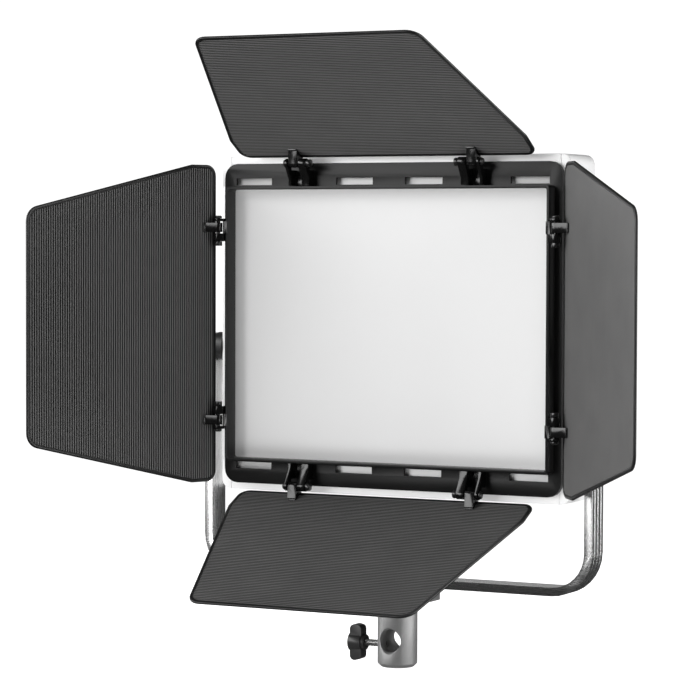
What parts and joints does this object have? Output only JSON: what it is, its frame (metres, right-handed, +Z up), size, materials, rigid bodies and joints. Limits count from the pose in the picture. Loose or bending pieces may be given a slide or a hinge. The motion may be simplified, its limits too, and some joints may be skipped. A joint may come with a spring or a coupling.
{
  "type": "led panel light",
  "caption": "Flat studio light panel with an opal front, hinged ribbed barn doors, and a U-shaped tilting yoke on a spigot receiver with a clamp screw.",
  "frame": {"origin": "centre of the stand receiver's lower end", "axes": "+Z up, the light faces -Y, +X to the right seen from behind the light, along the tilt axis"},
  "size_m": [0.433, 0.2358, 0.4327],
  "materials": {
    "cast_metal": "sand-cast, fine grain",
    "dark_steel": "blackened",
    "bright_screw": "polished",
    "knob_plastic": "moulded, fine grain",
    "yoke_aluminium": "brushed and anodised",
    "spacer_nylon": "plain",
    "housing_silver": "satin silver",
    "cap_silver": "silver moulded",
    "opal_sheet": "opal, satin",
    "white_reflector": "white, matt",
    "led_board": "white-coated board",
    "frame_black": "satin black",
    "hinge_black": "semi-gloss black",
    "door_black": "satin black, ribbed, glossy rim",
    "box_plastic": "fine grain",
    "display_glass": "clear over dark",
    "circuit_board": "solder mask"
  },
  "bodies": {
    "yoke": {"yoke": "yoke_aluminium", "saddle": "cast_metal", "receiver": "cast_metal", "receiver_bolt": "dark_steel"},
    "panel": {"pivot_stud_left": "dark_steel", "pivot_stud_right": "dark_steel", "pivot_spacer_left": "spacer_nylon", "pivot_spacer_right": "spacer_nylon", "rail_left": "housing_silver", "rail_right": "housing_silver", "rail_top": "housing_silver", "rail_bottom": "housing_silver", "cap_top_left": "cap_silver", "cap_top_right": "cap_silver", "cap_bottom_left": "cap_silver", "cap_bottom_right": "cap_silver", "back_plate": "housing_silver", "diffuser": "opal_sheet", "reflector": "white_reflector", "led_board": "led_board", "barn_frame": "frame_black", "hinge_top_a": "hinge_black", "pin_top_a": "dark_steel", "hinge_top_b": "hinge_black", "pin_top_b": "dark_steel", "hinge_bottom_a": "hinge_black", "pin_bottom_a": "dark_steel", "hinge_bottom_b": "hinge_black", "pin_bottom_b": "dark_steel", "hinge_left_a": "hinge_black", "pin_left_a": "dark_steel", "hinge_left_b": "hinge_black", "pin_left_b": "dark_steel", "hinge_right_a": "hinge_black", "pin_right_a": "dark_steel", "hinge_right_b": "hinge_black", "pin_right_b": "dark_steel", "control_box": "box_plastic", "display": "display_glass", "dc_inlet": "dark_steel", "control_board": "circuit_board"},
    "door_top": {"door_top": "door_black", "leaf_top_a": "hinge_black", "leaf_top_b": "hinge_black"},
    "door_bottom": {"door_bottom": "door_black", "leaf_bottom_a": "hinge_black", "leaf_bottom_b": "hinge_black"},
    "door_left": {"door_left": "door_black", "leaf_left_a": "hinge_black", "leaf_left_b": "hinge_black"},
    "door_right": {"door_right": "door_black", "leaf_right_a": "hinge_black", "leaf_right_b": "hinge_black"},
    "clamp_screw": {"clamp_screw": "bright_screw"},
    "clamp_knob": {"clamp_knob": "knob_plastic"},
    "tilt_knob_left": {"tilt_knob_left": "knob_plastic"},
    "tilt_knob_right": {"tilt_knob_right": "knob_plastic"},
    "dial_left": {"dial_left": "knob_plastic"},
    "dial_right": {"dial_right": "knob_plastic"},
    "power_switch": {"power_switch": "knob_plastic"}
  },
  "joints": [
    {"name": "panel_tilt", "type": "hinge", "parent": "yoke", "child": "panel", "pos_m": [0, 0, 0.2215], "axis": [-1, 0, 0], "range_deg": [-10, 90]},
    {"name": "door_top_swing", "type": "hinge", "parent": "panel", "child": "door_top", "pos_m": [0, -0.027, 0.3513], "axis": [1, 0, 0], "range_deg": [-58, 116]},
    {"name": "door_bottom_swing", "type": "hinge", "parent": "panel", "child": "door_bottom", "pos_m": [0, -0.027, 0.1253], "axis": [-1, 0, 0], "range_deg": [-39, 85]},
    {"name": "door_left_swing", "type": "hinge", "parent": "panel", "child": "door_left", "pos_m": [-0.1295, -0.027, 0.2383], "axis": [0, 0, -1], "range_deg": [-107, 57]},
    {"name": "door_right_swing", "type": "hinge", "parent": "panel", "child": "door_right", "pos_m": [0.1295, -0.027, 0.2383], "axis": [0, 0, 1], "range_deg": [-98, 41]},
    {"name": "clamp_slide", "type": "slide", "parent": "yoke", "child": "clamp_screw", "axis": [1, 0, 0], "range_m": [-0.002, 0.008]},
    {"name": "clamp_turn", "type": "hinge", "parent": "clamp_screw", "child": "clamp_knob", "pos_m": [-0.031, 0, 0.015], "axis": [1, 0, 0], "range_deg": [-720, 2880]},
    {"name": "tilt_knob_left_turn", "type": "hinge", "parent": "panel", "child": "tilt_knob_left", "pos_m": [-0.16, 0, 0.2215], "axis": [-1, 0, 0], "range_deg": [0, 270]},
    {"name": "tilt_knob_right_turn", "type": "hinge", "parent": "panel", "child": "tilt_knob_right", "pos_m": [0.16, 0, 0.2215], "axis": [1, 0, 0], "range_deg": [0, 270]},
    {"name": "dial_left_turn", "type": "hinge", "parent": "panel", "child": "dial_left", "pos_m": [-0.056, 0.055, 0.1983], "axis": [0, -1, 0], "range_deg": [-150, 150]},
    {"name": "dial_right_turn", "type": "hinge", "parent": "panel", "child": "dial_right", "pos_m": [0.056, 0.055, 0.1983], "axis": [0, -1, 0], "range_deg": [-150, 150]},
    {"name": "power_switch_rock", "type": "hinge", "parent": "panel", "child": "power_switch", "pos_m": [-0.056, 0.0516, 0.1548], "axis": [1, 0, 0], "range_deg": [0, 24]}
  ],
  "couplings": [
    {"joint": "clamp_turn", "follows": "clamp_slide", "rad_per_m": 6283.2}
  ]
}
